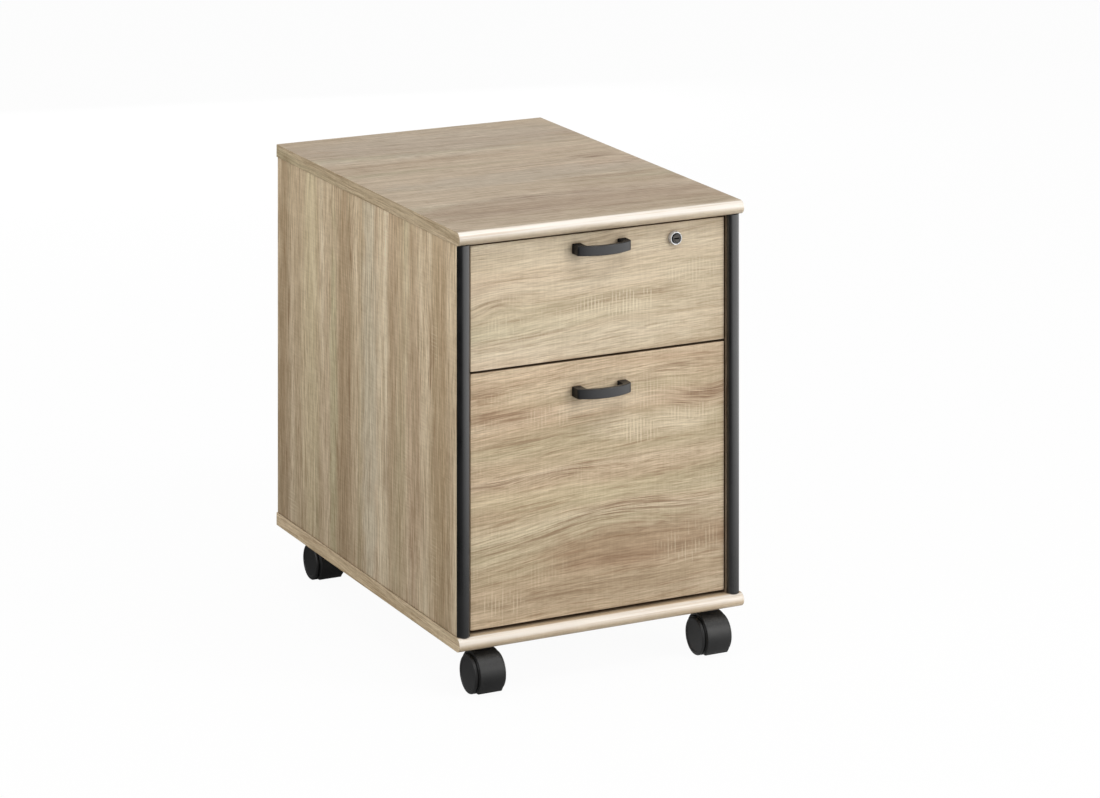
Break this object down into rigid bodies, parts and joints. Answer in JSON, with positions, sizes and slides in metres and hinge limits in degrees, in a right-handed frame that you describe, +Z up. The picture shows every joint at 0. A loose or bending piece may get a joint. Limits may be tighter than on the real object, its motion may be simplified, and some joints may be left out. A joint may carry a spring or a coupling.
{
  "type": "rolling pedestal cabinet",
  "caption": "Under-desk pedestal in oak-effect board: an upper drawer with a cylinder lock, a deep file drawer, black bow handles and half-round edge trims, on hooded casters.",
  "frame": {"origin": "on the floor, under the centre of the whole object's box, which is the middle of the cabinet", "axes": "+Z up, the drawers open towards -Y, +X is the lock's side (a viewer's right when facing the fronts)"},
  "size_m": [0.42, 0.612, 0.6],
  "materials": {
    "oak_board": "sawn-oak effect melamine on particle board, satin",
    "black_trim": "semi-gloss moulded profile",
    "black_handle": "satin black coating",
    "black_nylon": "moulded nylon, satin",
    "lock_chrome": "bright nickel-chrome",
    "plug_nickel": "nickel-plated brass, turned face",
    "zinc_steel": "bright zinc plate",
    "beech": "raw beech",
    "grey_board": "light grey melamine on particle board",
    "hardboard": "grey lacquered hardboard"
  },
  "bodies": {
    "cabinet": {"top_panel": "oak_board", "bottom_panel": "oak_board", "side_panel_left": "oak_board", "side_panel_right": "oak_board", "back_panel": "oak_board", "edge_profile_left": "black_trim", "edge_profile_right": "black_trim", "cam_lock_housings": "zinc_steel", "cam_lock_bolts": "zinc_steel", "wood_dowels": "beech", "upper_cabinet_rails": "zinc_steel", "lower_cabinet_rails": "zinc_steel", "cabinet_screws": "zinc_steel", "lock_strike": "zinc_steel", "caster_plates": "zinc_steel", "caster_king_pins": "zinc_steel"},
    "upper_drawer": {"upper_drawer_front": "oak_board", "upper_drawer_side_left": "grey_board", "upper_drawer_side_right": "grey_board", "upper_drawer_back": "grey_board", "upper_drawer_bottom": "hardboard", "upper_drawer_rails": "zinc_steel", "upper_drawer_dowels": "beech", "upper_drawer_screws": "zinc_steel", "upper_handle": "black_handle", "upper_handle_screws": "zinc_steel", "lock_housing": "lock_chrome"},
    "lock_barrel": {"lock_plug": "plug_nickel", "lock_cam": "zinc_steel"},
    "upper_cages": {"upper_ball_cages": "zinc_steel"},
    "lower_drawer": {"lower_drawer_front": "oak_board", "lower_drawer_side_left": "grey_board", "lower_drawer_side_right": "grey_board", "lower_drawer_back": "grey_board", "lower_drawer_bottom": "hardboard", "lower_drawer_rails": "zinc_steel", "lower_drawer_dowels": "beech", "lower_drawer_screws": "zinc_steel", "lower_handle": "black_handle", "lower_handle_screws": "zinc_steel", "hanging_file_rails": "zinc_steel"},
    "lower_middle": {"lower_middle_rails": "zinc_steel"},
    "lower_outer_cages": {"lower_outer_ball_cages": "zinc_steel"},
    "lower_inner_cages": {"lower_inner_ball_cages": "zinc_steel"},
    "caster_front_left": {"caster_hood_front_left": "black_nylon", "caster_axle_front_left": "zinc_steel"},
    "wheel_front_left_a": {"caster_wheel_front_left_a": "black_nylon"},
    "wheel_front_left_b": {"caster_wheel_front_left_b": "black_nylon"},
    "caster_front_right": {"caster_hood_front_right": "black_nylon", "caster_axle_front_right": "zinc_steel"},
    "wheel_front_right_a": {"caster_wheel_front_right_a": "black_nylon"},
    "wheel_front_right_b": {"caster_wheel_front_right_b": "black_nylon"},
    "caster_rear_left": {"caster_hood_rear_left": "black_nylon", "caster_axle_rear_left": "zinc_steel"},
    "wheel_rear_left_a": {"caster_wheel_rear_left_a": "black_nylon"},
    "wheel_rear_left_b": {"caster_wheel_rear_left_b": "black_nylon"},
    "caster_rear_right": {"caster_hood_rear_right": "black_nylon", "caster_axle_rear_right": "zinc_steel"},
    "wheel_rear_right_a": {"caster_wheel_rear_right_a": "black_nylon"},
    "wheel_rear_right_b": {"caster_wheel_rear_right_b": "black_nylon"}
  },
  "joints": [
    {"name": "upper_drawer_slide", "type": "slide", "parent": "cabinet", "child": "upper_drawer", "axis": [0, -1, 0], "range_m": [0, 0.37]},
    {"name": "upper_cages_slide", "type": "slide", "parent": "cabinet", "child": "upper_cages", "axis": [0, -1, 0], "range_m": [0, 0.185]},
    {"name": "lock_turn", "type": "hinge", "parent": "upper_drawer", "child": "lock_barrel", "pos_m": [0.112, -0.269, 0.5585], "axis": [0, 1, 0], "range_deg": [0, 90]},
    {"name": "lower_drawer_slide", "type": "slide", "parent": "cabinet", "child": "lower_drawer", "axis": [0, -1, 0], "range_m": [0, 0.49]},
    {"name": "lower_middle_slide", "type": "slide", "parent": "cabinet", "child": "lower_middle", "axis": [0, -1, 0], "range_m": [0, 0.245]},
    {"name": "lower_outer_cages_slide", "type": "slide", "parent": "cabinet", "child": "lower_outer_cages", "axis": [0, -1, 0], "range_m": [0, 0.1225]},
    {"name": "lower_inner_cages_slide", "type": "slide", "parent": "cabinet", "child": "lower_inner_cages", "axis": [0, -1, 0], "range_m": [0, 0.3675]},
    {"name": "caster_front_left_swivel", "type": "hinge", "parent": "cabinet", "child": "caster_front_left", "pos_m": [-0.167, -0.2485, 0.045], "axis": [0, 0, 1], "continuous": true},
    {"name": "wheel_front_left_a_roll", "type": "hinge", "parent": "caster_front_left", "child": "wheel_front_left_a", "pos_m": [-0.179, -0.2735, 0.025], "axis": [1, 0, 0], "continuous": true},
    {"name": "wheel_front_left_b_roll", "type": "hinge", "parent": "caster_front_left", "child": "wheel_front_left_b", "pos_m": [-0.155, -0.2735, 0.025], "axis": [1, 0, 0], "continuous": true},
    {"name": "caster_front_right_swivel", "type": "hinge", "parent": "cabinet", "child": "caster_front_right", "pos_m": [0.167, -0.2485, 0.045], "axis": [0, 0, 1], "continuous": true},
    {"name": "wheel_front_right_a_roll", "type": "hinge", "parent": "caster_front_right", "child": "wheel_front_right_a", "pos_m": [0.155, -0.2735, 0.025], "axis": [1, 0, 0], "continuous": true},
    {"name": "wheel_front_right_b_roll", "type": "hinge", "parent": "caster_front_right", "child": "wheel_front_right_b", "pos_m": [0.179, -0.2735, 0.025], "axis": [1, 0, 0], "continuous": true},
    {"name": "caster_rear_left_swivel", "type": "hinge", "parent": "cabinet", "child": "caster_rear_left", "pos_m": [-0.167, 0.2605, 0.045], "axis": [0, 0, 1], "continuous": true},
    {"name": "wheel_rear_left_a_roll", "type": "hinge", "parent": "caster_rear_left", "child": "wheel_rear_left_a", "pos_m": [-0.179, 0.2355, 0.025], "axis": [1, 0, 0], "continuous": true},
    {"name": "wheel_rear_left_b_roll", "type": "hinge", "parent": "caster_rear_left", "child": "wheel_rear_left_b", "pos_m": [-0.155, 0.2355, 0.025], "axis": [1, 0, 0], "continuous": true},
    {"name": "caster_rear_right_swivel", "type": "hinge", "parent": "cabinet", "child": "caster_rear_right", "pos_m": [0.167, 0.2605, 0.045], "axis": [0, 0, 1], "continuous": true},
    {"name": "wheel_rear_right_a_roll", "type": "hinge", "parent": "caster_rear_right", "child": "wheel_rear_right_a", "pos_m": [0.155, 0.2355, 0.025], "axis": [1, 0, 0], "continuous": true},
    {"name": "wheel_rear_right_b_roll", "type": "hinge", "parent": "caster_rear_right", "child": "wheel_rear_right_b", "pos_m": [0.179, 0.2355, 0.025], "axis": [1, 0, 0], "continuous": true}
  ],
  "couplings": [
    {"joint": "upper_cages_slide", "follows": "upper_drawer_slide", "ratio": 0.5},
    {"joint": "lower_middle_slide", "follows": "lower_drawer_slide", "ratio": 0.5},
    {"joint": "lower_outer_cages_slide", "follows": "lower_drawer_slide", "ratio": 0.25},
    {"joint": "lower_inner_cages_slide", "follows": "lower_drawer_slide", "ratio": 0.75}
  ]
}
